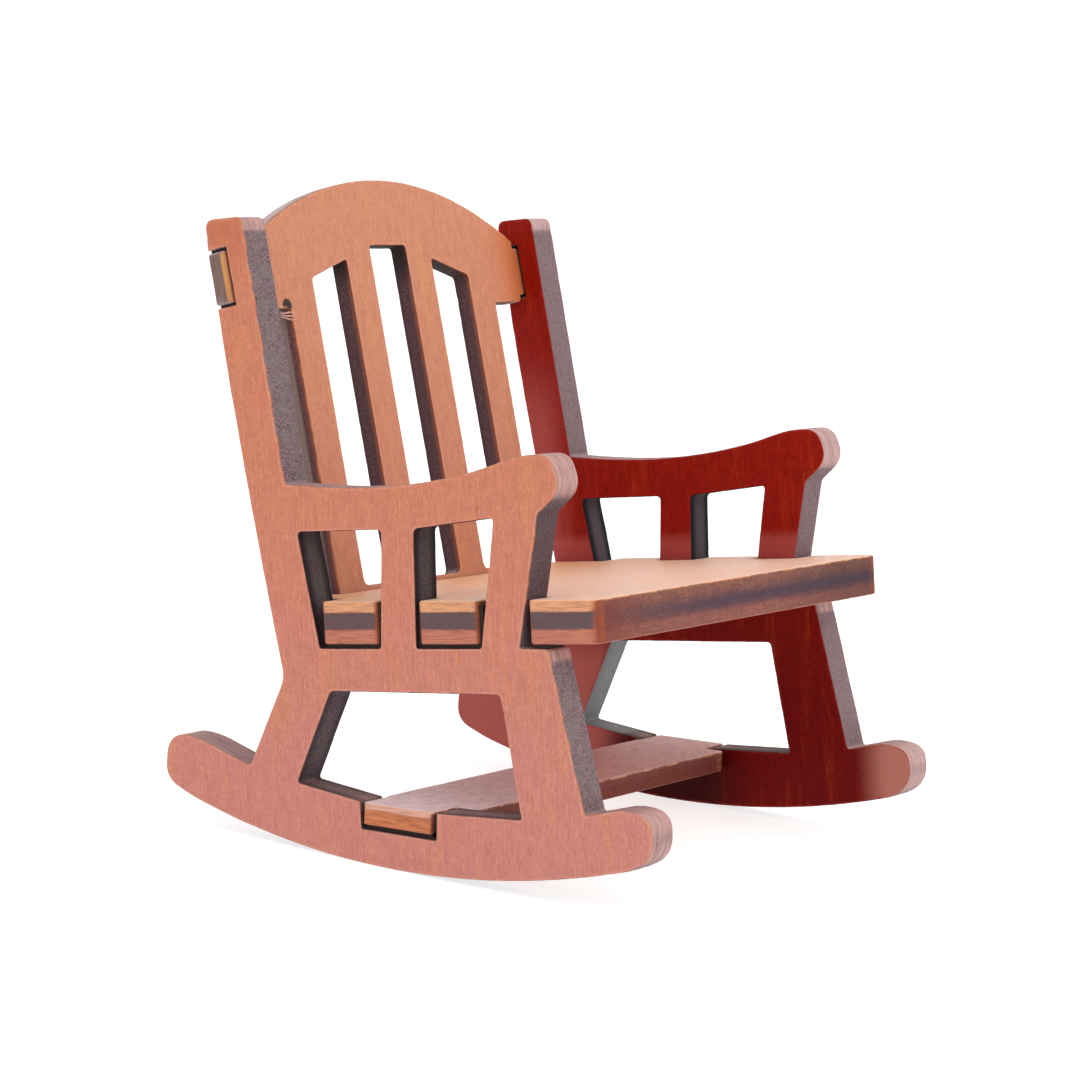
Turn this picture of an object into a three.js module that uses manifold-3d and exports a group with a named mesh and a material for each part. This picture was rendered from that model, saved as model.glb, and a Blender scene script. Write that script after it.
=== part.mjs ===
// Miniature rocking chair, cut from thin plywood and slotted together.
// Five boards: two side panels, a backrest, a seat and a stretcher.
//
// Units are millimetres. The chair's own frame has +X to its left, +Y to its
// rear and +Z up, with the seat level. Heights there are measured from the
// floor of the seat slots, and depths from the front of the rear uprights.
// The finished chair is then leaned back to the angle at which it rests on its
// rockers, and set on z = 0 with the origin under the middle of its box.

import * as THREE from 'three';
import { mergeVertices } from 'three/addons/utils/BufferGeometryUtils.js';
import Module from 'manifold-3d';

const wasm = await Module();
wasm.setup();

// ---- driving dimensions ----

const DEG = Math.PI / 180;
const WIDTH = 51;                  // over both side panels
const SIDE_T = 3.5;                // side panel thickness
const SEAT_T = 3.8;
const BACK_T = 1.8;
const STRETCHER_T = 1.95;
const GAP = 0.3;                   // clearance in every joint
const REST_LEAN = 8.6 * DEG;       // lean at which the chair balances

const HALF = WIDTH / 2;
const INNER = HALF - SIDE_T;       // inner face of a side panel
const BODY_HALF = INNER - 0.4;     // half width of the boards between the panels

// rockers: an arc of short flats, one of which lies on the floor at rest
const ROCKER_R = 80.5;
const ROCKER_C = { y: -16.65, z: 60.4 };
const ROCKER_FLAT = 0.84 * DEG;    // angle of arc that one flat spans
const ROCKER_FLATS_AHEAD = 22;     // flats in front of the one at rest
const ROCKER_FLATS_BEHIND = 17;

// seat
const SEAT_Z = 0.35;               // underside
const SEAT_TOP = SEAT_Z + SEAT_T;
const SEAT_FRONT_Y = -29;
const SEAT_REAR_Y = 5.2;
// depth ranges in which the seat runs out through the side panels
const SEAT_TABS = [
  { rear: -0.5, front: -6.3 },
  { rear: -10.85, front: -16.9 },
  { rear: -22.25, front: SEAT_FRONT_Y },
];

// backrest: v is measured up the board from the top of the seat
const BACK_LEAN = 8.2 * DEG;
const BACK_FOOT_Y = 3.66;          // front face where it meets the seat's top
const BACK_FOOT_V = -3.5;
const HEAD_HALF = BODY_HALF;
const ARCH_V = 38.5;
const ARCH_R = 42;
const SHOULDER_V = 26.4;
const TENON_V = [27.1, 31.8];
const SLAT_EDGES = [2.95, 7.0, 12.85, 16.9];
const SLOT_BOTTOM_V = 0.45;
const SLOT_TOP_V = { middle: 32.2, inner: 30.9, outer: 29.2 };

// stretcher: sits in slots in the top edges of the rockers
const STRETCHER_TILT = 6.05 * DEG;
const STRETCHER_TOP = { y: -3.5, z: -13.55 };
const STRETCHER_TAB = { rear: -0.35, front: -7.65 };
const STRETCHER_BODY = { rear: -0.1, front: -9.9 };

const CURVE_STEPS = 10;

// ---- helpers ----

// Closed outline through corner points [a, b, radius], with each corner of
// radius > 0 rounded.
function traceOutline(path, corners) {
  const at = (i) => corners[(i + corners.length) % corners.length];
  const point = (c) => new THREE.Vector2(c[0], c[1]);
  const begin = (i) => {
    const here = point(at(i));
    const before = point(at(i - 1));
    return cutBack(here, before, at(i)[2] ?? 0);
  };
  const end = (i) => {
    const here = point(at(i));
    const after = point(at(i + 1));
    return cutBack(here, after, at(i)[2] ?? 0);
  };
  const start = end(0);
  path.moveTo(start.x, start.y);
  for (let i = 1; i <= corners.length; i += 1) {
    const into = begin(i);
    const corner = at(i);
    path.lineTo(into.x, into.y);
    if ((corner[2] ?? 0) > 0) {
      const out = end(i);
      path.quadraticCurveTo(corner[0], corner[1], out.x, out.y);
    }
  }
  return path;
}

function cutBack(corner, towards, length) {
  const step = towards.clone().sub(corner);
  return corner.clone().addScaledVector(step.normalize(), length);
}

function arcPoints(centre, radius, from, to, steps) {
  const points = [];
  for (let i = 0; i <= steps; i += 1) {
    const angle = from + ((to - from) * i) / steps;
    const a = centre.y + radius * Math.sin(angle);
    const b = centre.z - radius * Math.cos(angle);
    points.push([a, b]);
  }
  return points;
}

function curvePoints(curve, steps) {
  return curve.getPoints(steps).map((p) => [p.x, p.y]);
}

function bezier(p0, p1, p2, p3) {
  const points = [p0, p1, p2, p3].map((p) => new THREE.Vector2(p[0], p[1]));
  return new THREE.CubicBezierCurve(...points);
}

function extrude(shape, thickness) {
  const options = { depth: thickness, bevelEnabled: false, curveSegments: CURVE_STEPS };
  return new THREE.ExtrudeGeometry(shape, options);
}

// Turns an extruded (y, z) outline so that its thickness lies along +X.
function standAcross(geometry) {
  const basis = new THREE.Matrix4().makeBasis(
    new THREE.Vector3(0, 1, 0),
    new THREE.Vector3(0, 0, 1),
    new THREE.Vector3(1, 0, 0),
  );
  return geometry.applyMatrix4(basis);
}

function woodMaterial(color) {
  return new THREE.MeshStandardMaterial({ color, roughness: 0.55, metalness: 0 });
}

function board(name, geometry, color) {
  const mesh = new THREE.Mesh(geometry, woodMaterial(color));
  mesh.name = name;
  return mesh;
}

function toSolid(geometry) {
  const bare = geometry.clone();
  bare.deleteAttribute('normal');
  bare.deleteAttribute('uv');
  const merged = mergeVertices(bare, 1e-4);
  return new wasm.Manifold(new wasm.Mesh({
    numProp: 3,
    vertProperties: new Float32Array(merged.attributes.position.array),
    triVerts: new Uint32Array(merged.index.array),
  }));
}

function fromSolid(solid) {
  const mesh = solid.getMesh();
  const geometry = new THREE.BufferGeometry();
  geometry.setAttribute('position', new THREE.BufferAttribute(mesh.vertProperties, 3));
  geometry.setIndex(new THREE.BufferAttribute(mesh.triVerts, 1));
  return geometry;
}

// ---- side panel ----

function rockerArc() {
  const from = REST_LEAN - (ROCKER_FLATS_AHEAD + 0.5) * ROCKER_FLAT;
  const to = REST_LEAN + (ROCKER_FLATS_BEHIND + 0.5) * ROCKER_FLAT;
  const flats = ROCKER_FLATS_AHEAD + 1 + ROCKER_FLATS_BEHIND;
  return arcPoints(ROCKER_C, ROCKER_R, from, to, flats);
}

function armTop() {
  const sweep = bezier([2.88, 14.6], [-4, 13.9], [-10, 13.8], [-17.1, 15.2]);
  const scroll = bezier([-17.1, 15.2], [-19.6, 15.7], [-21.2, 16.5], [-23.2, 16.5]);
  return [...curvePoints(sweep, 12), ...curvePoints(scroll, 6).slice(1)];
}

function rearEdge() {
  const bow = new THREE.QuadraticBezierCurve(
    new THREE.Vector2(4.5, -0.7),
    new THREE.Vector2(7.8, 18.2),
    new THREE.Vector2(9.4, 31.3),
  );
  return curvePoints(bow, 8);
}

// The backrest's tenon lies in a notch that opens on the rear edge.
function backrestNotch() {
  const along = (v, out) => {
    const y = BACK_FOOT_Y + v * Math.sin(BACK_LEAN) + out * Math.cos(BACK_LEAN);
    const z = SEAT_TOP + v * Math.cos(BACK_LEAN) - out * Math.sin(BACK_LEAN);
    return [y, z];
  };
  const low = TENON_V[0] - GAP;
  const high = TENON_V[1] + GAP;
  return [
    along(low, BACK_T - 0.02),
    along(low, -GAP),
    along(high, -GAP),
    along(high, BACK_T - 0.02),
  ];
}

function sideOutline() {
  const notch = backrestNotch();
  return traceOutline(new THREE.Shape(), [
    ...rockerArc(),
    [18.3, -11.9, 1.7],
    [17.6, -7.6, 2.1],
    [14.2, -8.15, 1.2],
    [8.5, -10.6, 0.4],
    [4.15, -2.6, 0.9],
    ...rearEdge().slice(0, -1),
    ...notch,
    [10.15, 38.45, 0.9],
    [6.1, 38.55, 0.8],
    ...armTop(),
    [-25.1, 16.5, 1.3],
    [-26.1, 13.5, 1.5],
    [-23.6, 11.45, 0.3],
    [-21.1, 0, 0.2],
    [-24.0, -0.1, 0.4],
    [-26.8, -14.25, 0.3],
    [-30.6, -13.6, 1.0],
    [-33.5, -14.2, 1.7],
    [-33.3, -17.9, 1.7],
  ]);
}

function armOpeningRear() {
  return traceOutline(new THREE.Path(), [
    [0, 0, 0.25],
    [1.8, 10.35, 0.5],
    [-7.3, 10.4, 0.5],
    [-6.6, 0, 0.25],
  ]);
}

function armOpeningFront() {
  return traceOutline(new THREE.Path(), [
    [-10.4, 0, 0.25],
    [-10.75, 10.4, 0.5],
    [-19.1, 11.2, 0.5],
    [-17.2, 0, 0.25],
  ]);
}

// The opening between the legs runs down into the stretcher's slot.
function legOpening() {
  return traceOutline(new THREE.Path(), [
    [-0.9, -3.8, 0.4],
    [3.3, -12.0, 0.4],
    [-3.5, -13.5, 0.15],
    [-3.46, -15.95, 0.15],
    [-11.4, -16.8, 0.15],
    [-11.6, -14.4, 0.15],
    [-20.4, -14.75, 0.3],
    [-18.85, -4.0, 0.4],
  ]);
}

function sidePanel(name, x) {
  const shape = sideOutline();
  shape.holes.push(armOpeningRear(), armOpeningFront(), legOpening());
  const geometry = standAcross(extrude(shape, SIDE_T));
  const mesh = board(name, geometry, 0xcc8068);
  mesh.position.x = x;
  return mesh;
}

// ---- seat ----

// One side of the seat's outline, from the rear corner to the front corner.
function seatEdge(side) {
  const corners = [[side * BODY_HALF, SEAT_REAR_Y, 0.3]];
  for (const tab of SEAT_TABS) {
    const last = tab.front === SEAT_FRONT_Y;
    corners.push([side * BODY_HALF, tab.rear, 0.1]);
    corners.push([side * HALF, tab.rear, 0.4]);
    corners.push([side * HALF, tab.front, last ? 0.9 : 0.4]);
    if (!last) corners.push([side * BODY_HALF, tab.front, 0.1]);
  }
  return corners;
}

// Space around the foot of the backrest, cut out of the seat's rear edge.
function footSpace() {
  const half = SLAT_EDGES[3] + GAP;
  const box = new THREE.BoxGeometry(2 * half, 8, 12);
  box.translate(0, 4 - GAP, 0);
  const place = new THREE.Object3D();
  place.position.set(0, BACK_FOOT_Y, SEAT_TOP);
  place.rotation.x = -BACK_LEAN;
  place.updateMatrix();
  return box.applyMatrix4(place.matrix);
}

function seat() {
  const right = seatEdge(-1);
  const left = seatEdge(1).reverse();
  const shape = traceOutline(new THREE.Shape(), [...right, ...left]);
  const plate = extrude(shape, SEAT_T).translate(0, 0, SEAT_Z);
  const notched = toSolid(plate).subtract(toSolid(footSpace()));
  return board('seat', fromSolid(notched), 0xd99070);
}

// ---- backrest ----

function archPoints() {
  const centre = { y: 0, z: ARCH_V - ARCH_R };
  const reach = Math.asin(HEAD_HALF / ARCH_R);
  return arcPoints(centre, ARCH_R, Math.PI - reach, Math.PI + reach, 28);
}

function slot(edgeA, edgeB, topA, topB) {
  return traceOutline(new THREE.Path(), [
    [edgeA, SLOT_BOTTOM_V, 0.8],
    [edgeB, SLOT_BOTTOM_V, 0.8],
    [edgeB, topB, 0.4],
    [edgeA, topA, 0.4],
  ]);
}

function backrest() {
  const [s0, s1, s2, s3] = SLAT_EDGES;
  const [low, high] = TENON_V;
  const shape = traceOutline(new THREE.Shape(), [
    ...archPoints(),
    [-HEAD_HALF, high],
    [-HALF, high, 0.3],
    [-HALF, low, 0.3],
    [-HEAD_HALF, low],
    [-HEAD_HALF, SHOULDER_V, 0.4],
    [-s3, SHOULDER_V, 0.4],
    [-s3, BACK_FOOT_V, 0.3],
    [s3, BACK_FOOT_V, 0.3],
    [s3, SHOULDER_V, 0.4],
    [HEAD_HALF, SHOULDER_V, 0.4],
    [HEAD_HALF, low],
    [HALF, low, 0.3],
    [HALF, high, 0.3],
    [HEAD_HALF, high],
  ]);
  const { middle, inner, outer } = SLOT_TOP_V;
  shape.holes.push(slot(-s0, s0, middle, middle));
  shape.holes.push(slot(-s2, -s1, outer, inner));
  shape.holes.push(slot(s1, s2, inner, outer));

  const mesh = board('backrest', extrude(shape, BACK_T), 0xc98660);
  mesh.rotation.x = Math.PI / 2;
  mesh.position.y = BACK_T;
  const leaned = new THREE.Group();
  leaned.position.set(0, BACK_FOOT_Y, SEAT_TOP);
  leaned.rotation.x = -BACK_LEAN;
  leaned.add(mesh);
  return leaned;
}

// ---- stretcher ----

function stretcher() {
  const { rear, front } = STRETCHER_BODY;
  const tab = STRETCHER_TAB;
  const shape = traceOutline(new THREE.Shape(), [
    [BODY_HALF, rear, 0.3],
    [-BODY_HALF, rear, 0.3],
    [-BODY_HALF, tab.rear],
    [-HALF, tab.rear, 0.35],
    [-HALF, tab.front, 0.2],
    [-BODY_HALF, tab.front],
    [-BODY_HALF, front, 0.4],
    [BODY_HALF, front, 0.4],
    [BODY_HALF, tab.front],
    [HALF, tab.front, 0.2],
    [HALF, tab.rear, 0.35],
    [BODY_HALF, tab.rear],
  ]);
  const mesh = board('stretcher', extrude(shape, STRETCHER_T), 0xb06a58);
  mesh.position.z = -STRETCHER_T;
  const tilted = new THREE.Group();
  tilted.position.set(0, STRETCHER_TOP.y, STRETCHER_TOP.z);
  tilted.rotation.x = STRETCHER_TILT;
  tilted.add(mesh);
  return tilted;
}

// ---- assembly ----

function settleOnFloor(group) {
  group.updateMatrixWorld(true);
  const box = new THREE.Box3().setFromObject(group, true);
  group.position.y -= (box.min.y + box.max.y) / 2;
  group.position.z -= box.min.z;
  group.updateMatrixWorld(true);
}

function rockingChair() {
  const chair = new THREE.Group();
  chair.name = 'rocking_chair';
  chair.add(sidePanel('side_panel_right', -HALF));
  chair.add(sidePanel('side_panel_left', INNER));
  chair.add(seat());
  chair.add(backrest());
  chair.add(stretcher());
  chair.rotation.x = -REST_LEAN;
  settleOnFloor(chair);
  return chair;
}

const model = new THREE.Group();
model.add(rockingChair());

export default model;
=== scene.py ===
"""Looks of the miniature rocking chair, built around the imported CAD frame.

Each of the five boards is remade from its CAD node: the outline is read from the node's flat
face, and the board is built again with rounded, chipped edges, ply grooves and a fine surface.
Lengths are in millimetres unless a name says otherwise, and MM turns them into metres.
"""

import math

import bpy
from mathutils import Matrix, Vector, kdtree, noise
from mathutils.geometry import delaunay_2d_cdt


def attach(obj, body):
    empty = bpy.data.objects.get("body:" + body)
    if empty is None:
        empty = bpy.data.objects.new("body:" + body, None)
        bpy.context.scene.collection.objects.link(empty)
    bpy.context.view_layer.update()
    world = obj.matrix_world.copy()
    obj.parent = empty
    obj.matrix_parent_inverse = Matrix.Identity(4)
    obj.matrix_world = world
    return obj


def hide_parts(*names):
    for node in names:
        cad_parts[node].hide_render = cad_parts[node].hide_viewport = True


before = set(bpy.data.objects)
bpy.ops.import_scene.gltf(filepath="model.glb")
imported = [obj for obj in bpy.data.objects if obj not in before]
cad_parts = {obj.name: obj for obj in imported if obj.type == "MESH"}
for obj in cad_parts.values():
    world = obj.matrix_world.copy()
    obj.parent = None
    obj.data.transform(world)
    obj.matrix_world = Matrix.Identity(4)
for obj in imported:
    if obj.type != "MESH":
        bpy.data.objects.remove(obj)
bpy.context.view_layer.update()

MM = 0.001
REST_LEAN = math.radians(8.6)
CHAIR_UP = Vector((0, math.sin(REST_LEAN), math.cos(REST_LEAN)))
ACROSS_CHAIR = Vector((1, 0, 0))

WELD_M = 3e-6              # corners closer than this are one corner
AT_SIDE_M = 5e-6           # a corner this close to a flat side's level is on it
OUTLINE_STEP = 0.3         # longest step along an outline
SHORT_STEP = 0.09          # shorter steps on a smooth stretch are merged
SHARP_TURN = math.radians(20)   # a corner this sharp is kept
FACE_GRID = 0.75           # spacing of the points inside a flat face
FACE_MARGIN = 0.45         # their least distance from the outline
GUARD = 0.1                # width of the flat ring inside the rounded edge
MITER_LIMIT = 1.3          # longest that an outline normal gets at a corner
ROUND_STEPS = 4            # steps round a rounded edge
WALL_STEP = 0.6            # spacing of the rows down a cut wall
GROOVE_HALF = 0.07         # half width of the groove at a glue line
GROOVE_DEPTH = 0.04
TURN_REACH = 1.6           # stretch over which the outline's turning is averaged
NO_LIMIT = 9.0             # more than any inset
MOST_SHIFT = 0.8           # most that a wall moves sideways from one face to the other
CHIP_DEPTH = 2.0           # how much deeper than the rounding a chip goes
CHIP_SHARE = 0.32          # noise over this makes a chip
LEAST_ROUNDING = 0.55
WALL_WAVE = 0.018          # unevenness of a cut wall, in broad waves and in fine ones
WALL_GRAIN = 0.015
FACE_SWELL = 0.012         # unevenness of a face
LEAST_SOOT_AND_SHADE = 0.75          # soot and painted shade in the largest opening
CLEANER_LENGTH = 70        # outline length at which an opening would keep none
SOOT_AND_SHADE_RANGE = 30            # how much shorter than that keeps all of it
TAB_START = 24.2           # distance from the middle at which a tab's end wall begins
TAB_FADE = 0.8             # distance over which it sets in


# ---- reading a board's outline from its CAD node ----

def biggest_face_normal(mesh):
    """Normal of the flat side with the largest area."""
    sums = {}
    for polygon in mesh.polygons:
        key = tuple(round(c, 2) for c in polygon.normal)
        total = sums.get(key, Vector((0, 0, 0)))
        sums[key] = total + polygon.normal * polygon.area
    return max(sums.values(), key=lambda total: total.length).normalized()


def welded(mesh):
    """For each vertex, the first vertex at the same place."""
    tree = kdtree.KDTree(len(mesh.vertices))
    for vertex in mesh.vertices:
        tree.insert(vertex.co, vertex.index)
    tree.balance()
    same = {}
    for vertex in mesh.vertices:
        same[vertex.index] = min(i for _, i, _ in tree.find_range(vertex.co, WELD_M))
    return same


def boundary_loops(mesh, normal):
    """Closed loops of corners round the flat side that faces along normal.

    They are the edges at which the walls meet that side.
    """
    same = welded(mesh)
    height = [v.co.dot(normal) for v in mesh.vertices]
    level = max(height)
    onward = {}
    for polygon in mesh.polygons:
        at_side = [height[i] > level - AT_SIDE_M for i in polygon.vertices]
        if all(at_side):
            continue
        keys = [same[i] for i in polygon.vertices]
        for k, key in enumerate(keys):
            before = keys[k - 1]
            if at_side[k] and at_side[k - 1] and before != key:
                onward[key] = before
    loops = []
    while onward:
        key = min(onward)
        loop = []
        while key in onward:
            loop.append(mesh.vertices[key].co.copy())
            key = onward.pop(key)
        loops.append(loop)
    return loops


class Board:
    """A board's own axes: along its grain, across it, and out of its outer face."""

    def __init__(self, node, outward, grain):
        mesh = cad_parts[node].data
        normal = biggest_face_normal(mesh)
        if normal.dot(outward) < 0:
            normal = -normal
        self.node = node
        self.normal = normal
        self.along = (grain - normal * grain.dot(normal)).normalized()
        self.across = normal.cross(self.along)
        depths = [v.co.dot(normal) for v in mesh.vertices]
        self.face_level = max(depths) / MM
        self.thickness = (max(depths) - min(depths)) / MM
        outer = [[self.flat(p) for p in loop] for loop in boundary_loops(mesh, normal)]
        inner = [self.flat(p) for loop in boundary_loops(mesh, -normal) for p in loop]
        self.loops = [self.paired(simplified(loop), inner) for loop in outer]

    def flat(self, point):
        """Place of a node's vertex in the outer face's plane."""
        return Vector((point.dot(self.along), point.dot(self.across))) / MM

    def solid(self, point, depth):
        """World position of a point in the outer face's plane, sunk by depth."""
        level = self.face_level - depth
        return (self.along * point.x + self.across * point.y + self.normal * level) * MM

    def heading(self, direction):
        """World direction of a direction in the board's plane."""
        return self.along * direction.x + self.across * direction.y

    def paired(self, loop, inner):
        """Each outline point with the shift that the wall makes by the inner face."""
        tree = kdtree.KDTree(len(inner))
        for i, point in enumerate(inner):
            tree.insert(point.to_3d(), i)
        tree.balance()
        corners = []
        for point in loop:
            nearest, _, _ = tree.find(point.to_3d())
            shift = nearest.to_2d() - point
            corners.append((point, shift if shift.length < MOST_SHIFT else Vector((0, 0))))
        return refined(corners)


def simplified(loop):
    """The loop without the points that crowd its smooth stretches."""
    kept = []
    count = len(loop)
    for i, point in enumerate(loop):
        before = (point - loop[i - 1]).normalized()
        after = (loop[(i + 1) % count] - point).normalized()
        turn = math.acos(max(-1, min(1, before.dot(after))))
        near = kept and (point - kept[-1]).length < SHORT_STEP
        if not near or turn > SHARP_TURN:
            kept.append(point)
    return kept


def refined(corners):
    """The outline with points added, so that no step is longer than OUTLINE_STEP."""
    points = []
    for (a, shift_a), (b, shift_b) in zip(corners, corners[1:] + corners[:1]):
        steps = max(1, math.ceil((b - a).length / OUTLINE_STEP))
        for k in range(steps):
            share = k / steps
            points.append((a.lerp(b, share), shift_a.lerp(shift_b, share)))
    return points


# ---- building a board ----

def outline_normals(points):
    """Outward direction at each point, longer at sharp corners."""
    result = []
    count = len(points)
    for i, point in enumerate(points):
        before = point - points[i - 1]
        after = points[(i + 1) % count] - point
        n1 = Vector((before.y, -before.x)).normalized()
        n2 = Vector((after.y, -after.x)).normalized()
        middle = (n1 + n2).normalized()
        result.append(middle * min(MITER_LIMIT, 1 / max(0.2, middle.dot(n1))))
    return result


def inset_limits(points, normals):
    """How far each point may be moved inward before the outline folds over."""
    count = len(points)
    limits = [NO_LIMIT] * count
    for i in range(count):
        j = (i + 1) % count
        edge = points[j] - points[i]
        closing = (normals[j] - normals[i]).dot(edge)
        if closing > 1e-9:
            limit = 0.8 * edge.length_squared / closing
            limits[i] = min(limits[i], limit)
            limits[j] = min(limits[j], limit)
    return [min(limits[i - 1], limits[i], limits[(i + 1) % count]) for i in range(count)]


def smoothed_turn(points, reach):
    """Turning per millimetre averaged over a stretch: over 0 where the outline is convex."""
    count = len(points)
    lengths = [(points[(i + 1) % count] - points[i]).length for i in range(count)]
    turns = []
    for i in range(count):
        a = points[i] - points[i - 1]
        b = points[(i + 1) % count] - points[i]
        turns.append(math.atan2(a.x * b.y - a.y * b.x, a.dot(b)))
    result = []
    for i in range(count):
        total = turns[i]
        for way in (1, -1):
            far = 0
            k = i
            while far < reach:
                far += max(1e-3, lengths[k] if way > 0 else lengths[k - 1])
                k = (k + way) % count
                total += turns[k] * max(0.0, 1 - far / reach)
        result.append(total / reach)
    return result


def edge_profile(thickness, radius, plies):
    """(depth, inset, kind) down the edge: kind goes from 0 on a face to 1 on the cut wall."""
    half = []
    half.append((0.0, radius + GUARD, 0.0))
    for k in range(ROUND_STEPS + 1):
        angle = 0.5 * math.pi * k / ROUND_STEPS
        depth = radius * (1 - math.cos(angle))
        half.append((depth, radius * (1 - math.sin(angle)), k / ROUND_STEPS))
    wall = []
    for share in plies:
        at = share * thickness
        wall += [(at - GROOVE_HALF, 0.0, 1.0), (at, GROOVE_DEPTH, 1.0), (at + GROOVE_HALF, 0.0, 1.0)]
    ends = [radius] + [share * thickness for share in plies] + [thickness - radius]
    for a, b in zip(ends, ends[1:]):
        steps = max(1, round((b - a) / WALL_STEP))
        wall += [(a + (b - a) * (k + 0.5) / steps, 0.0, 1.0) for k in range(steps)]
    back = [(thickness - depth, inset, kind) for depth, inset, kind in reversed(half)]
    return half + sorted(wall) + back


def rows_inside(loops, low, high, spacing):
    """Grid points that lie inside the outline, found row by row."""
    found = []
    rows = int((high.y - low.y) / spacing)
    for r in range(1, rows):
        y = low.y + r * spacing
        crossings = []
        for loop in loops:
            for a, b in zip(loop, loop[1:] + loop[:1]):
                if (a.y > y) != (b.y > y):
                    crossings.append(a.x + (b.x - a.x) * (y - a.y) / (b.y - a.y))
        crossings.sort()
        for start, end in zip(crossings[::2], crossings[1::2]):
            x = start + spacing * (0.5 if r % 2 else 1.0)
            while x < end:
                found.append(Vector((x, y)))
                x += spacing
    return found


def wobble(point, size, seed):
    """Smooth noise from -1 to 1 over the board, with features of about that size."""
    return noise.noise(Vector((point.x / size, point.y / size, seed)))


def trapped_soot(points):
    """How black a cut wall is, from soot and painted shade: the outer edge not at all, and small
    openings the most.
    """
    area = 0.0
    length = 0.0
    for a, b in zip(points, points[1:] + points[:1]):
        area += 0.5 * (a.x * b.y - a.y * b.x)
        length += (b - a).length
    if area > 0:
        return 0.0
    return max(LEAST_SOOT_AND_SHADE, min(1.0, (CLEANER_LENGTH - length) / SOOT_AND_SHADE_RANGE))


class BoardMesh:
    """Collects the points and faces of one board."""

    def __init__(self, board, radius, plies, seed):
        self.board = board
        self.seed = seed
        self.profile = edge_profile(board.thickness, radius, plies)
        self.points = []
        self.flat = []
        self.values = {name: [] for name in ("rim", "cut", "wear", "soot", "end", "sky")}
        self.faces = []
        first_rings = []
        last_rings = []
        for loop in board.loops:
            rings = self.wall(loop)
            first_rings.append(rings[0])
            last_rings.append(rings[-1])
        self.cap(first_rings, 0.0, False)
        self.cap(last_rings, board.thickness, True)

    def add(self, point, depth, **values):
        self.points.append(self.board.solid(point, depth))
        self.flat.append((point.x, point.y, depth))
        for name, column in self.values.items():
            column.append(values.get(name, 0.0))
        return len(self.points) - 1

    def rounding(self, point):
        """How much the edge's rounding differs here from its usual radius."""
        worn = 1 + 0.45 * wobble(point, 2.3, self.seed)
        chip = max(0.0, wobble(point, 0.9, self.seed + 7) - CHIP_SHARE)
        return max(LEAST_ROUNDING, worn + CHIP_DEPTH * chip)

    def wall(self, loop):
        """The rounded edges and the cut wall of one loop, as rings of points."""
        points = [p for p, _ in loop]
        shifts = [s for _, s in loop]
        normals = outline_normals(points)
        limits = inset_limits(points, normals)
        turn = smoothed_turn(points, TURN_REACH)
        soot = trapped_soot(points)
        thickness = self.board.thickness
        rings = []
        for depth, inset, kind in self.profile:
            ring = []
            for i, point in enumerate(points):
                size = self.rounding(point) if kind < 1 else 1.0
                mirrored = depth > thickness / 2
                sunk = (thickness - depth) if mirrored else depth
                sunk = sunk * size
                level = thickness - sunk if mirrored else sunk
                drawn = inset * size
                if kind >= 1:
                    level = depth
                    drawn = inset + WALL_WAVE * wobble(point, 0.45, self.seed + 3)
                    drawn += WALL_GRAIN * noise.noise(Vector((point.x, point.y, 2 * depth)))
                drawn = min(drawn, limits[i])
                share = level / thickness
                place = point + shifts[i] * share - normals[i] * drawn
                rim = max(0.0, drawn) if kind == 0 else 0.0
                heading = self.board.heading(normals[i].normalized())
                out = abs(self.board.solid(place, level).x) / MM - TAB_START
                end = heading.x ** 2 * max(0.0, min(1.0, out / TAB_FADE))
                index = self.add(place, level, rim=rim, cut=kind, wear=turn[i], soot=soot,
                                 end=end, sky=heading.z)
                ring.append(index)
            rings.append(ring)
        for upper, lower in zip(rings, rings[1:]):
            for i in range(len(upper)):
                j = (i + 1) % len(upper)
                self.faces.append((upper[i], lower[i], lower[j], upper[j]))
        return rings

    def cap(self, rings, depth, backward):
        """One flat face, filled between the outline and the openings."""
        loops = [[Vector(self.flat[i][:2]) for i in ring] for ring in rings]
        every = [p for loop in loops for p in loop]
        tree = kdtree.KDTree(len(every))
        for i, p in enumerate(every):
            tree.insert(p.to_3d(), i)
        tree.balance()
        low = Vector((min(p.x for p in every), min(p.y for p in every)))
        high = Vector((max(p.x for p in every), max(p.y for p in every)))
        flat = list(every)
        owner = [i for ring in rings for i in ring]
        for p in rows_inside(loops, low, high, FACE_GRID):
            _, _, distance = tree.find(p.to_3d())
            if distance > FACE_MARGIN:
                flat.append(p)
                swell = FACE_SWELL * wobble(p, 3.0, self.seed + depth)
                owner.append(self.add(p, depth + swell, rim=distance))
        outlines = []
        for loop in loops:
            start = sum(len(outline) for outline in outlines)
            outlines.append(list(range(start, start + len(loop))))
        outer = max(range(len(loops)), key=lambda k: max(p.x + p.y for p in loops[k]))
        ordered = [o if k == outer else o[::-1] for k, o in enumerate(outlines)]
        result = delaunay_2d_cdt(flat, [], ordered, 1, 1e-7)
        for triangle, inside in zip(result[2], result[5]):
            corners = [owner[result[3][v][0]] for v in triangle if result[3][v]]
            if inside != [outer] or len(set(corners)) < 3:
                continue
            self.faces.append(tuple(reversed(corners)) if backward else tuple(corners))

    def finish(self, name, material):
        """The piece that stands for the CAD node, with its attributes for the material."""
        mesh = bpy.data.meshes.new(name)
        mesh.from_pydata(self.points, [], self.faces)
        mesh.validate()
        self.attribute(mesh, "board", "FLOAT_VECTOR", "vector", self.flat)
        for attribute, column in self.values.items():
            self.attribute(mesh, attribute, "FLOAT", "value", column)
        mesh.materials.append(material)
        mesh.polygons.foreach_set("use_smooth", [True] * len(mesh.polygons))
        piece = bpy.data.objects.new(name, mesh)
        bpy.context.scene.collection.objects.link(piece)
        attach(piece, "root")
        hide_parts(self.board.node)

    @staticmethod
    def attribute(mesh, name, kind, field, values):
        attribute = mesh.attributes.new(name, kind, "POINT")
        flat = [c for v in values for c in v] if field == "vector" else values
        attribute.data.foreach_set(field, flat)


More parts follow.
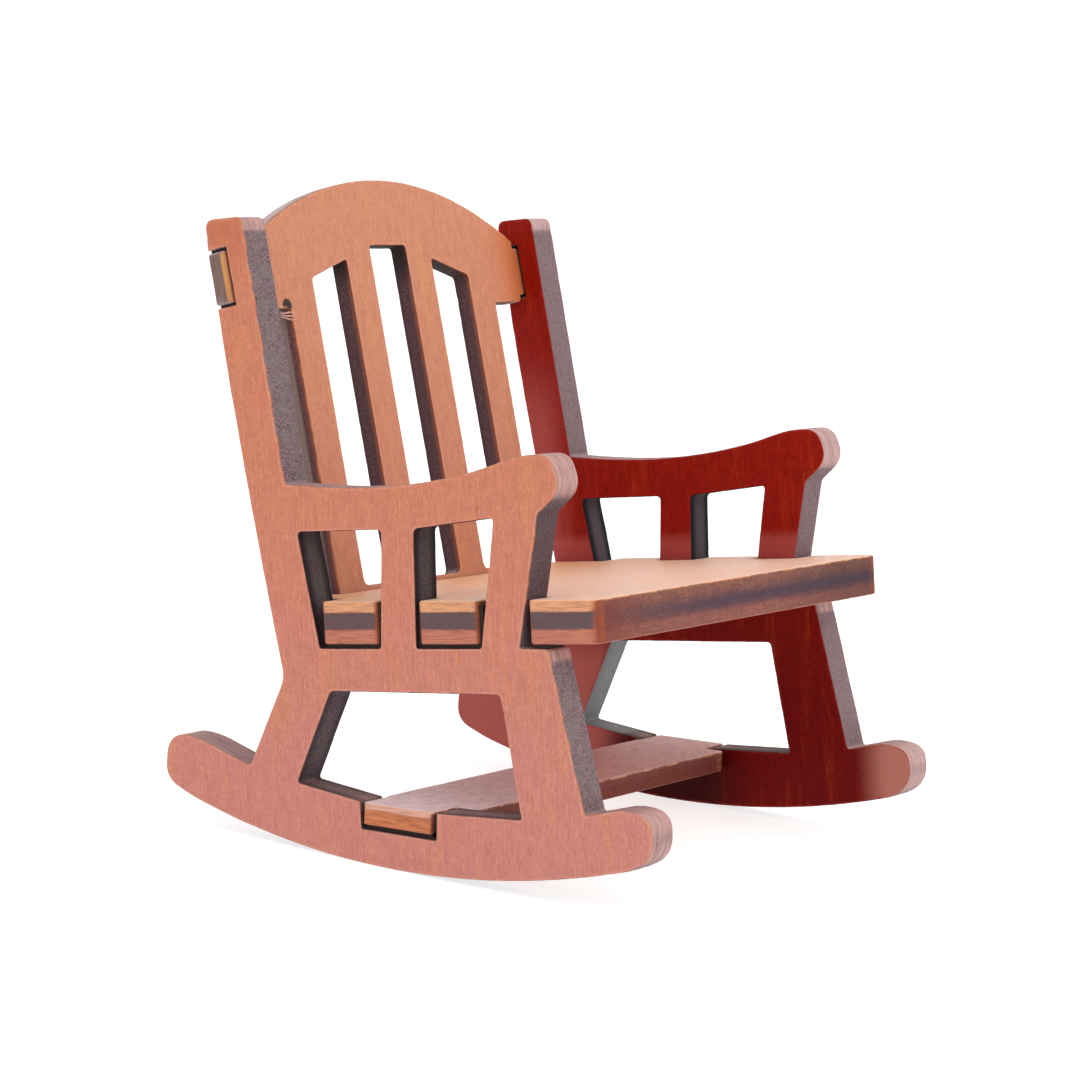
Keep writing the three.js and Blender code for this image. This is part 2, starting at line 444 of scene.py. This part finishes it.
# ---- materials ----

def paint(red, green, blue):
    """A colour given as it shows on a screen, from 0 to 255."""
    def linear(c):
        c = c / 255
        return c / 12.92 if c <= 0.04045 else ((c + 0.055) / 1.055) ** 2.4
    return (linear(red), linear(green), linear(blue), 1.0)


class Shader:
    """Short names for the shader nodes that the wood uses."""

    def __init__(self, name):
        self.material = bpy.data.materials.new(name)
        self.material.use_nodes = True
        self.tree = self.material.node_tree
        self.tree.nodes.clear()
        self.principled = self.tree.nodes.new("ShaderNodeBsdfPrincipled")
        output = self.tree.nodes.new("ShaderNodeOutputMaterial")
        self.tree.links.new(self.principled.outputs[0], output.inputs[0])

    def put(self, socket, value):
        if isinstance(value, bpy.types.NodeSocket):
            self.tree.links.new(value, socket)
        else:
            socket.default_value = value

    def attribute(self, name, output):
        node = self.tree.nodes.new("ShaderNodeAttribute")
        node.attribute_name = name
        return node.outputs[output]

    def position(self):
        return self.tree.nodes.new("ShaderNodeTexCoord").outputs["Object"]

    def math(self, operation, a, b=0.0):
        node = self.tree.nodes.new("ShaderNodeMath")
        node.operation = operation
        self.put(node.inputs[0], a)
        self.put(node.inputs[1], b)
        return node.outputs[0]

    def between(self, value, low, high, to_low=0.0, to_high=1.0):
        """value taken smoothly from the range low..high to to_low..to_high."""
        node = self.tree.nodes.new("ShaderNodeMapRange")
        node.interpolation_type = "SMOOTHSTEP"
        self.put(node.inputs[0], value)
        for i, number in enumerate((low, high, to_low, to_high)):
            self.put(node.inputs[i + 1], number)
        return node.outputs[0]

    def vector_math(self, operation, vector, other):
        node = self.tree.nodes.new("ShaderNodeVectorMath")
        node.operation = operation
        self.put(node.inputs[0], vector)
        node.inputs[1].default_value = other
        return node

    def stretch(self, vector, x, y, z):
        return self.vector_math("MULTIPLY", vector, (x, y, z)).outputs[0]

    def shift(self, vector, x, y, z):
        return self.vector_math("ADD", vector, (x, y, z)).outputs[0]

    def distance(self, vector, point):
        return self.vector_math("DISTANCE", vector, point).outputs["Value"]

    def part(self, vector, axis):
        node = self.tree.nodes.new("ShaderNodeSeparateXYZ")
        self.put(node.inputs[0], vector)
        return node.outputs[axis]

    def noise(self, vector, scale=1.0, detail=3.0, roughness=0.55, distortion=0.0):
        node = self.tree.nodes.new("ShaderNodeTexNoise")
        self.put(node.inputs["Vector"], vector)
        node.inputs["Scale"].default_value = scale
        node.inputs["Detail"].default_value = detail
        node.inputs["Roughness"].default_value = roughness
        node.inputs["Distortion"].default_value = distortion
        return node.outputs[0]

    def mix(self, share, a, b, blend="MIX"):
        node = self.tree.nodes.new("ShaderNodeMix")
        node.data_type = "RGBA"
        node.blend_type = blend
        self.put(node.inputs[0], share)
        self.put(node.inputs[6], a)
        self.put(node.inputs[7], b)
        return node.outputs[2]

    def blend(self, share, a, b):
        node = self.tree.nodes.new("ShaderNodeMix")
        node.data_type = "FLOAT"
        self.put(node.inputs[0], share)
        self.put(node.inputs[2], a)
        self.put(node.inputs[3], b)
        return node.outputs[0]

    def bump(self, height, distance_m, strength, normal=None):
        node = self.tree.nodes.new("ShaderNodeBump")
        node.inputs["Distance"].default_value = distance_m
        node.inputs["Strength"].default_value = strength
        self.put(node.inputs["Height"], height)
        if normal is not None:
            self.put(node.inputs["Normal"], normal)
        return node.outputs[0]


class Wood(Shader):
    """Stained plywood: two faces with grain along the board, and laser-charred cut edges."""

    def __init__(self, name, thickness, faces, edge, seed, gloss):
        super().__init__(name)
        self.board = self.attribute("board", "Vector")
        self.at = self.shift(self.board, 0, 0, seed)
        self.place = {
            "up": self.part(self.board, 0),
            "across": self.part(self.board, 1),
            "depth": self.part(self.board, 2),
        }
        self.rim = self.attribute("rim", "Fac")
        self.wear = self.attribute("wear", "Fac")
        self.soot = self.attribute("soot", "Fac")
        self.end = self.attribute("end", "Fac")
        self.sky = self.attribute("sky", "Fac")
        self.thickness = thickness
        self.streaks = self.noise(self.stretch(self.at, 0.4, 6.0, 1), 1, 5, 0.62, 0.2)
        self.fibres = self.noise(self.stretch(self.at, 1.1, 17.0, 1), 1, 3, 0.6)
        self.bands = self.noise(self.stretch(self.at, 0.09, 0.7, 1), 1, 4, 0.55, 0.6)
        self.mottle = self.noise(self.stretch(self.at, 2.4, 4.6, 2), 1, 4, 0.7)
        self.speckle = self.noise(self.stretch(self.at, 6.5, 6.5, 4.5), 1, 4, 0.7)
        self.patches = self.noise(self.at, 0.9, 3, 0.6)

        half = 0.5 * thickness
        is_inner = self.between(self.place["depth"], half - 0.1, half + 0.1)
        face = self.mix(is_inner, self.face_colour(faces[0]), self.face_colour(faces[1]))
        on_cut = self.between(self.attribute("cut", "Fac"), 0.3, 0.75)
        colour = self.mix(on_cut, face, self.cut_colour(edge))
        self.put(self.principled.inputs["Base Color"], colour)

        smooth = self.between(self.streaks, 0.3, 0.7, 0.40, 0.56)
        rough = self.between(self.speckle, 0.3, 0.7, 0.6, 0.85)
        self.put(self.principled.inputs["Roughness"], self.blend(on_cut, smooth, rough))
        self.principled.inputs["Specular IOR Level"].default_value = gloss
        face_relief = self.math("ADD", self.streaks, self.math("MULTIPLY", self.mottle, 0.9))
        cut_relief = self.math("MULTIPLY", self.speckle, 2.2)
        relief = self.blend(on_cut, face_relief, cut_relief)
        self.put(self.principled.inputs["Normal"], self.bump(relief, 0.00005, 0.7))

    def tinted(self, colour, tints):
        """Each tint is laid over the places where all its ramps are high."""
        for tone, strength, ramps in tints:
            share = strength
            for kind, *limits in ramps:
                share = self.math("MULTIPLY", share, self.ramp(kind, *limits))
            colour = self.mix(share, colour, tone)
        return colour

    def ramp(self, kind, *limits):
        if kind != "near":
            return self.between(self.place[kind], *limits)
        point, low, high = limits
        return self.between(self.distance(self.board, point), low, high)

    def face_colour(self, face):
        """Stain over grain: from the face's low end to its high end, with streaks and flecks."""
        base = self.mix(self.between(self.place[face["along"]], *face["ends"]),
                        face["low"], face["high"])
        streaky = self.between(self.streaks, 0.34, 0.72)
        colour = self.mix(self.math("MULTIPLY", streaky, 0.36), base, face["dark"])
        fleck = self.between(self.bands, 0.5, 0.68)
        fleck = self.math("MULTIPLY", fleck, self.between(self.fibres, 0.42, 0.62))
        colour = self.mix(self.math("MULTIPLY", fleck, 0.55), colour, face["fleck"])
        pores = self.between(self.mottle, 0.52, 0.7)
        colour = self.mix(self.math("MULTIPLY", pores, 0.5), colour, face["dark"])
        pale = self.between(self.mottle, 0.46, 0.3)
        colour = self.mix(self.math("MULTIPLY", pale, 0.38), colour, face["rim"])
        cloudy = self.between(self.patches, 0.35, 0.7)
        colour = self.mix(self.math("MULTIPLY", cloudy, 0.2), colour, face["dark"])
        colour = self.tinted(colour, face["tints"])
        near = self.between(self.rim, 0.14, 0.3, 1.0, 0.0)
        share = self.math("MULTIPLY", near, self.between(self.patches, 0.4, 0.62, 0.0, 0.4))
        return self.mix(share, colour, face["rim"])

    def cut_colour(self, edge):
        """Char and ash, the plies where they show, and over them worn places, soot with painted
        shade in openings, and a painted highlight on walls that face up.
        """
        speckled = self.between(self.speckle, 0.36, 0.64)
        colour = self.mix(speckled, edge["char"], edge["ash"])
        grey = self.between(self.patches, 0.42, 0.66, 0.0, edge["grey"])
        colour = self.mix(grey, colour, GREY_CHAR)
        long_wall = self.math("SUBTRACT", 1.0, self.end)
        drift = self.math("SUBTRACT", self.noise(self.at, 0.5, 5, 0.75), 0.5)
        drift = self.math("MULTIPLY", drift, self.blend(self.end, 2.0, 0.3))
        depth = self.math("ADD", self.place["depth"], drift)
        lines = self.noise(self.stretch(self.at, 0.5, 0.5, 7.0), 1, 3, 0.6)
        soft = self.blend(self.end, 0.6, 0.12)
        for low, high, share, tint in edge["layers"]:
            rise = self.between(depth, *self.around(low, soft))
            fall = self.between(depth, *self.around(high, soft), 1.0, 0.0)
            band = self.math("MULTIPLY", rise, fall)
            band = self.math("MULTIPLY", band, self.between(lines, 0.3, 0.6, 0.55, 1.0))
            clear = self.blend(self.end, share[0], share[1])
            colour = self.mix(self.math("MULTIPLY", band, clear), colour, tint)
        layered = self.noise(self.stretch(self.at, 0.35, 0.35, 4.0), 1, 3, 0.6)
        streaked = self.between(layered, 0.3, 0.6, 0.35, 0.95)
        rubbed = self.math("MULTIPLY", self.between(self.wear, 0.14, 0.42), streaked)
        rubbed = self.math("MULTIPLY", rubbed, long_wall)
        colour = self.mix(rubbed, colour, edge["worn"])
        # Painted highlight: walls that face up are made paler, in the worn colour, as strongly as
        # pale says.
        painted_top_light = self.math("MULTIPLY", self.between(self.sky, 0.2, 0.95), streaked)
        painted_top_light = self.math("MULTIPLY", painted_top_light, self.math("MULTIPLY", long_wall, edge["pale"]))
        colour = self.mix(painted_top_light, colour, edge["worn"])
        # Soot with painted shade on the walls of openings, strongest towards the faces.
        from_middle = self.math("SUBTRACT", self.place["depth"], 0.5 * self.thickness)
        from_middle = self.math("ABSOLUTE", from_middle)
        soot_and_shade_by_depth = self.between(from_middle, 0.12 * self.thickness, 0.4 * self.thickness, 0.6, 0.98)
        black = self.math("MULTIPLY", self.soot, soot_and_shade_by_depth)
        colour = self.mix(black, colour, edge["soot"])
        colour = self.tinted(colour, edge["tints"])
        top = self.between(self.place["depth"], 0.08, 0.26, 1.0, 0.0)
        patchy = self.between(self.noise(self.at, 0.7, 3, 0.6), 0.42, 0.6, 0.15, 0.9)
        clean = self.between(self.soot, 0.1, 0.6, 1.0, 0.1)
        share = self.math("MULTIPLY", self.math("MULTIPLY", top, patchy), clean)
        return self.mix(share, colour, edge["line"])

    def around(self, share, soft):
        """Start and end of the change at a glue line."""
        at = share * self.thickness
        return self.math("SUBTRACT", at, soft), self.math("ADD", at, soft)


def tint(colour, strength, *ramps):
    """A ramp is (direction, where the tint is off, where it is full)."""
    return (paint(*colour), strength, ramps)


def face_look(low, high, ends, dark, fleck, rim, along="up", tints=()):
    """Stain that goes from low to high between the two ends, and the colours over it."""
    colours = {"low": low, "high": high, "dark": dark, "fleck": fleck, "rim": rim}
    made = {name: paint(*colour) for name, colour in colours.items()}
    made.update(ends=ends, along=along, tints=tints)
    return made


# soot: the colour of soot with painted shade, on the walls of openings.
# worn also colours the painted highlight on walls that face up, and pale sets that highlight's
# strength.
def edge_look(char, ash, soot, worn, line, layers=(), pale=0.6, grey=0.0, tints=()):
    """layers are (from, to, (strength on long walls, on end walls), colour) down the edge."""
    colours = {"char": char, "ash": ash, "soot": soot, "worn": worn, "line": line}
    made = {name: paint(*colour) for name, colour in colours.items()}
    made["layers"] = [(low, high, share, paint(*tone)) for low, high, share, tone in layers]
    made.update(pale=pale, grey=grey, tints=tints)
    return made


GREY_CHAR = paint(122, 116, 110)

OUTER = face_look(
    (194, 126, 116), (198, 122, 92), (-2, 42), (150, 78, 60), (210, 140, 76), (218, 156, 134),
    tints=(tint((168, 86, 50), 0.4, ("up", 51, 57)),),
)
# Inner faces: the stain made deep red and dark as painted shade, for faces that lie in the chair's
# own shadow.
SHADED_INNER = face_look((106, 6, 4), (144, 24, 8), (0, 40), (70, 4, 4), (158, 50, 14), (150, 40, 24))
# Far panel's inner face: the same deep red painted shade, with painted highlights and painted shadow
# laid over it.
SHADED_INNER_WITH_PAINTED_LIGHT = face_look(
    (104, 2, 2), (148, 22, 8), (6, 30), (70, 2, 2), (172, 58, 12), (160, 42, 24),
    tints=(
        # Pink painted highlights: on the rear part at mid height, in a band at seat height, and low
        # at the rear.
        tint((176, 90, 84), 0.5, ("across", -8.5, -12.5), ("up", 23, 27), ("up", 46, 36)),
        tint((182, 92, 88), 0.45, ("up", 26.6, 25.2), ("up", 20, 22)),
        tint((190, 104, 94), 0.62, ("across", -3.5, -7.5), ("up", 19, 13)),
        # Painted shadow, near black, low down in the middle of the rocker.
        tint((30, 0, 0), 0.8, ("across", -9, -4), ("across", 11, 4), ("up", 10, 4)),
        # Pink painted highlight near the rocker's front tip.
        tint((204, 138, 122), 0.55, ("across", 21, 25), ("up", 10, 6)),
    ),
)
BACK = face_look(
    (200, 132, 104), (202, 132, 98), (20, 55), (156, 84, 60), (214, 148, 80), (222, 160, 130),
    tints=(
        # Painted shade: the face turns darker orange towards the far post.
        tint((214, 112, 54), 0.6, ("across", -17, -22)),
        # Painted shade: a near-black spot for the hole where the slat is torn, under the torn
        # fibres.
        tint((24, 2, 4), 0.98, ("near", (51.45, 17.45, 0), 0.8, 0.55)),
    ),
)
# Seat top: golden at the rear, turning pale pink towards the front, which is a painted sheen.
SEAT_TOP_WITH_SHEEN = face_look(
    (244, 206, 184), (238, 180, 138), (-12, 12), (208, 134, 98), (242, 182, 108), (248, 212, 190),
    along="across",
)
UNDER = face_look(
    (186, 114, 92), (188, 114, 86), (-20, 20), (140, 70, 54), (198, 130, 72), (210, 156, 136),
)
LOW_TOP = face_look(
    (244, 216, 218), (220, 160, 150), (-24, 10), (126, 70, 72), (216, 148, 124), (252, 234, 228),
)

NEAR_EDGE = edge_look(
    (78, 58, 64), (140, 118, 124), (20, 6, 16), (194, 150, 142), (200, 122, 64), grey=0.42,
    # Painted shade: dark purple on the front wall of the arm's stile, under the arm tip.
    tints=(tint((52, 20, 34), 0.6, ("across", -12, -13.5), ("up", 33.5, 30.5), ("up", 19, 22)),),
)
FAR_EDGE = edge_look(
    (108, 86, 92), (138, 116, 122), (4, 20, 30), (196, 160, 156), (176, 84, 60), pale=0.7, grey=0.3,
    tints=(
        # Painted light: a pale grey-green patch on the rear corner of the leg opening.
        tint((152, 160, 160), 0.6, ("across", -4, -5.4), ("across", -10.2, -9.8), ("up", 19, 17),
             ("up", 3, 4.5)),
    ),
)
PLIES = (0.28, 0.66)
SEAT_LAYERS = (
    (-0.1, 0.27, (0.15, 0.95), (218, 156, 116)),
    (0.27, 0.66, (0.35, 0.9), (90, 76, 78)),
    (0.66, 1.1, (0.3, 0.9), (190, 118, 96)),
)
SEAT_EDGE = edge_look(
    (66, 22, 22), (132, 76, 70), (44, 26, 32), (168, 86, 50), (220, 150, 90), SEAT_LAYERS, 0.0,
    tints=(
        tint((52, 42, 64), 0.62, ("across", -15, -18), ("up", -22, -4), ("depth", 1.1, 1.8),
             ("depth", 2.9, 2.1)),
        tint((116, 36, 20), 0.5, ("across", -15, -18), ("up", -16, -25), ("up", -25.4, -25.1)),
        tint((40, 22, 26), 0.42, ("across", -15, -18), ("up", 2, 22)),
    ),
)
BACK_LAYERS = ((-0.1, 0.28, (0.0, 0.95), (200, 142, 82)), (0.28, 1.1, (0.0, 0.8), (126, 102, 94)))
BACK_EDGE = edge_look(
    (60, 34, 42), (114, 78, 78), (54, 30, 38), (208, 186, 182), (188, 118, 78), BACK_LAYERS, 0.9,
    tints=(
        tint((142, 78, 56), 0.6, ("depth", 0.6, 0.2), ("across", 18, 17.4), ("across", -18, -17.4)),
        tint((148, 132, 124), 0.6, ("depth", 0.75, 1.05), ("across", 16, 16.6), ("up", 53, 51.5)),
        # Painted shade: near black at the top of the slots' walls.
        tint((26, 12, 12), 0.85, ("up", 52.5, 55.5), ("up", 58.8, 58.2), ("across", 20, 18),
             ("across", -20, -18)),
    ),
)
LOW_LAYERS = ((-0.1, 0.3, (0.1, 0.85), (226, 172, 150)), (0.3, 1.1, (0.1, 0.95), (200, 122, 80)))
LOW_EDGE = edge_look(
    (70, 10, 10), (106, 38, 36), (44, 26, 32), (150, 84, 66), (214, 152, 120), LOW_LAYERS, 0.0,
)


def make_board(node, outward, grain, faces, edge, plies, radius, seed, gloss=0.25):
    board = Board(node, outward, grain)
    material = Wood("wood_" + node, board.thickness, faces, edge, seed, gloss).material
    BoardMesh(board, radius, plies, seed).finish("board_" + node, material)


def make_chair():
    up = CHAIR_UP
    side = ACROSS_CHAIR
    forward = Vector((0, -1, 0))
    sides = (OUTER, SHADED_INNER)
    make_board("side_panel_right", -side, up, sides, NEAR_EDGE, (), 0.16, 1)
    lit_sides = (OUTER, SHADED_INNER_WITH_PAINTED_LIGHT)
    make_board("side_panel_left", side, up, lit_sides, FAR_EDGE, (), 0.16, 21, 0.08)
    make_board("seat", up, side, (SEAT_TOP_WITH_SHEEN, UNDER), SEAT_EDGE, PLIES, 0.22, 41)
    make_board("backrest", forward, up, (BACK, OUTER), BACK_EDGE, (), 0.12, 61)
    make_board("stretcher", up, side, (LOW_TOP, UNDER), LOW_EDGE, (), 0.12, 81)


# ---- dark strips of painted shade, and torn fibres, in the joints ----

CHAIR_ORIGIN = Vector((0, 9.183, 18.287))
SEAT_SLOTS = (0, 0)                # (y, z) of each board's own zero in the chair's frame
BACK_FOOT = (3.66, 4.15)
STRETCHER_TOP = (-3.5, -13.55)
BACK_LEAN = math.radians(8.2)
STRETCHER_TILT = math.radians(-6.05)
JOINT_SHADOW_X = (22.3, 25.05)             # from inside the side panel to just under its outer face

# (board's place, its lean, boxes of painted joint shadow as front, rear, low and high)
JOINT_SHADOW_BOXES = (
    (SEAT_SLOTS, 0.0, (
        (-6.2, -0.6, -0.1, 0.5),
        (-16.8, -10.95, -0.1, 0.5),
        (-23.6, -22.35, -0.1, 0.5),
        (-6.7, -6.2, 0.0, 3.7),
        (-17.3, -16.8, 0.0, 3.7),
        (-10.95, -10.3, 0.0, 3.7),
    )),
    (BACK_FOOT, BACK_LEAN, (
        (-0.2, 1.7, 26.7, 27.3),
        (-0.2, 1.7, 31.6, 32.2),
        (-0.4, 0.1, 26.8, 32.1),
    )),
    (STRETCHER_TOP, STRETCHER_TILT, (
        (-0.45, 0.1, -2.2, -0.2),
        (-7.9, -0.1, -2.35, -1.8),
        (-8.2, -7.55, -2.2, -0.2),
    )),
)

BOX_SIDES = (
    (3, 2, 1, 0), (4, 5, 6, 7), (0, 1, 5, 4),
    (1, 2, 6, 5), (2, 3, 7, 6), (3, 0, 4, 7),
)


def from_chair(x, y, z):
    """World position of a place in the chair's own frame, with the seat level."""
    turned_y = y * math.cos(REST_LEAN) + z * math.sin(REST_LEAN)
    turned_z = z * math.cos(REST_LEAN) - y * math.sin(REST_LEAN)
    return (CHAIR_ORIGIN + Vector((x, turned_y, turned_z))) * MM


def from_board(place, lean, x, y, z):
    """World position of a place measured along a board that leans."""
    turned_y = y * math.cos(lean) + z * math.sin(lean)
    turned_z = z * math.cos(lean) - y * math.sin(lean)
    return from_chair(x, place[0] + turned_y, place[1] + turned_z)


def make_joint_shadow_strips():
    """Dark strips of painted shade that close the joints' gaps a little below the outer faces."""
    points = []
    faces = []
    for side in (-1, 1):
        for place, lean, boxes in JOINT_SHADOW_BOXES:
            for front, rear, low, high in boxes:
                start = len(points)
                for x in JOINT_SHADOW_X:
                    for y, z in ((front, low), (rear, low), (rear, high), (front, high)):
                        points.append(from_board(place, lean, side * x, y, z))
                for corners in BOX_SIDES:
                    ordered = corners if side > 0 else corners[::-1]
                    faces.append([start + c for c in ordered])
    shader = Shader("painted_joint_shadow")
    speckle = shader.noise(shader.position(), 2500, 3, 0.6)
    colour = shader.mix(speckle, paint(18, 8, 8), paint(52, 28, 24))
    shader.put(shader.principled.inputs["Base Color"], colour)
    shader.put(shader.principled.inputs["Roughness"], 0.8)
    make_trim("joint_shadow_strips", points, faces, shader.material)


def make_trim(name, points, faces, material):
    """A piece that stands for no CAD node."""
    mesh = bpy.data.meshes.new(name)
    mesh.from_pydata(points, [], faces)
    mesh.materials.append(material)
    piece = bpy.data.objects.new(name, mesh)
    bpy.context.scene.collection.objects.link(piece)
    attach(piece, "root")


# each fibre goes from (x, height) to (x, height) on the front of the backrest
TORN_FIBRES = (
    ((-18.4, 26.0), (-16.1, 26.0)),
    ((-18.3, 25.85), (-16.3, 25.6)),
    ((-18.4, 25.7), (-15.95, 25.2)),
)
FIBRE_RADIUS = 0.08
FIBRE_SECTIONS = 8
FIBRE_SIDES = 4
FIBRE_WAVE = 0.12


def make_torn_fibres():
    """Slivers torn from the edge of a slat, just under the head of the backrest."""
    sections = FIBRE_SECTIONS
    sides = FIBRE_SIDES
    points = []
    faces = []
    for (x0, z0), (x1, z1) in TORN_FIBRES:
        start = len(points)
        for section in range(sections):
            t = section / (sections - 1)
            radius = FIBRE_RADIUS * (0.25 + 0.75 * math.sin(math.pi * (0.1 + 0.8 * t)))
            wave = FIBRE_WAVE * noise.noise(Vector((3.1 * t, z1, 0.7)))
            for corner in range(sides):
                angle = math.tau * corner / sides
                x = x0 + (x1 - x0) * t
                y = 0.25 - 0.3 * t + radius * math.cos(angle)
                z = z0 + (z1 - z0) * t + wave + radius * math.sin(angle)
                points.append(from_board(BACK_FOOT, BACK_LEAN, x, y, z))
        for section in range(sections - 1):
            for corner in range(sides):
                a = start + sides * section + corner
                b = start + sides * section + (corner + 1) % sides
                faces.append((a, b, b + sides, a + sides))
        last = start + sides * (sections - 1)
        faces.append([start + corner for corner in reversed(range(sides))])
        faces.append([last + corner for corner in range(sides)])
    shader = Shader("torn_fibre")
    stain = shader.noise(shader.position(), 1800, 3, 0.6)
    colour = shader.mix(stain, paint(176, 118, 100), paint(236, 196, 178))
    shader.put(shader.principled.inputs["Base Color"], colour)
    shader.put(shader.principled.inputs["Roughness"], 0.7)
    make_trim("torn_fibres", points, faces, shader.material)


# ---- camera, floor and light ----

CAMERA_MM = Vector((-283.12, -175.49, 71.66))
CAMERA_TURN = (math.radians(82.375), math.radians(-4.279), math.radians(-57.18))
LENS_MM = 120.86
SENSOR_MM = 36.0


def make_camera():
    data = bpy.data.cameras.new("camera")
    data.lens = LENS_MM
    data.sensor_width = SENSOR_MM
    data.clip_start = 0.01
    data.clip_end = 50
    camera = bpy.data.objects.new("camera", data)
    camera.location = CAMERA_MM * MM
    camera.rotation_euler = CAMERA_TURN
    bpy.context.scene.collection.objects.link(camera)
    bpy.context.scene.camera = camera


FLOOR_HALF_M = 3.0
FLOOR_GREY = 0.5
FLOOR_GLOW = 0.7           # keeps the paper near white away from the chair
LIGHT_SIZE_M = 0.4
KEY_WATTS = 0.7
FILL_WATTS = 0.4
LIGHTS_AIM_M = (0, 0, 0.03)


def make_floor():
    half = FLOOR_HALF_M
    corners = [(-half, -half, 0), (half, -half, 0), (half, half, 0), (-half, half, 0)]
    mesh = bpy.data.meshes.new("floor")
    mesh.from_pydata(corners, [], [(0, 1, 2, 3)])
    floor = bpy.data.objects.new("floor", mesh)
    bpy.context.scene.collection.objects.link(floor)
    shader = Shader("floor_paper")
    shader.put(shader.principled.inputs["Base Color"], (FLOOR_GREY, FLOOR_GREY, FLOOR_GREY, 1))
    shader.put(shader.principled.inputs["Roughness"], 0.9)
    shader.put(shader.principled.inputs["Emission Color"], (1, 1, 1, 1))
    shader.put(shader.principled.inputs["Emission Strength"], FLOOR_GLOW)
    mesh.materials.append(shader.material)


def make_area_light(name, position, power):
    data = bpy.data.lights.new(name, "AREA")
    data.shape = "DISK"
    data.size = LIGHT_SIZE_M
    data.energy = power
    light = bpy.data.objects.new(name, data)
    light.location = position
    towards = Vector(LIGHTS_AIM_M) - Vector(position)
    light.rotation_euler = towards.to_track_quat("-Z", "Y").to_euler()
    bpy.context.scene.collection.objects.link(light)


def make_lights():
    world = bpy.data.worlds.new("studio")
    world.use_nodes = True
    background = world.node_tree.nodes["Background"]
    background.inputs[0].default_value = (1, 1, 1, 1)
    background.inputs[1].default_value = 1.0
    bpy.context.scene.world = world
    make_area_light("key", (-0.35, -0.3, 0.45), KEY_WATTS)
    make_area_light("fill", (0.4, -0.35, 0.3), FILL_WATTS)


bpy.context.scene.view_settings.view_transform = "Standard"
make_camera()
make_chair()
make_joint_shadow_strips()
make_torn_fibres()
make_floor()
make_lights()
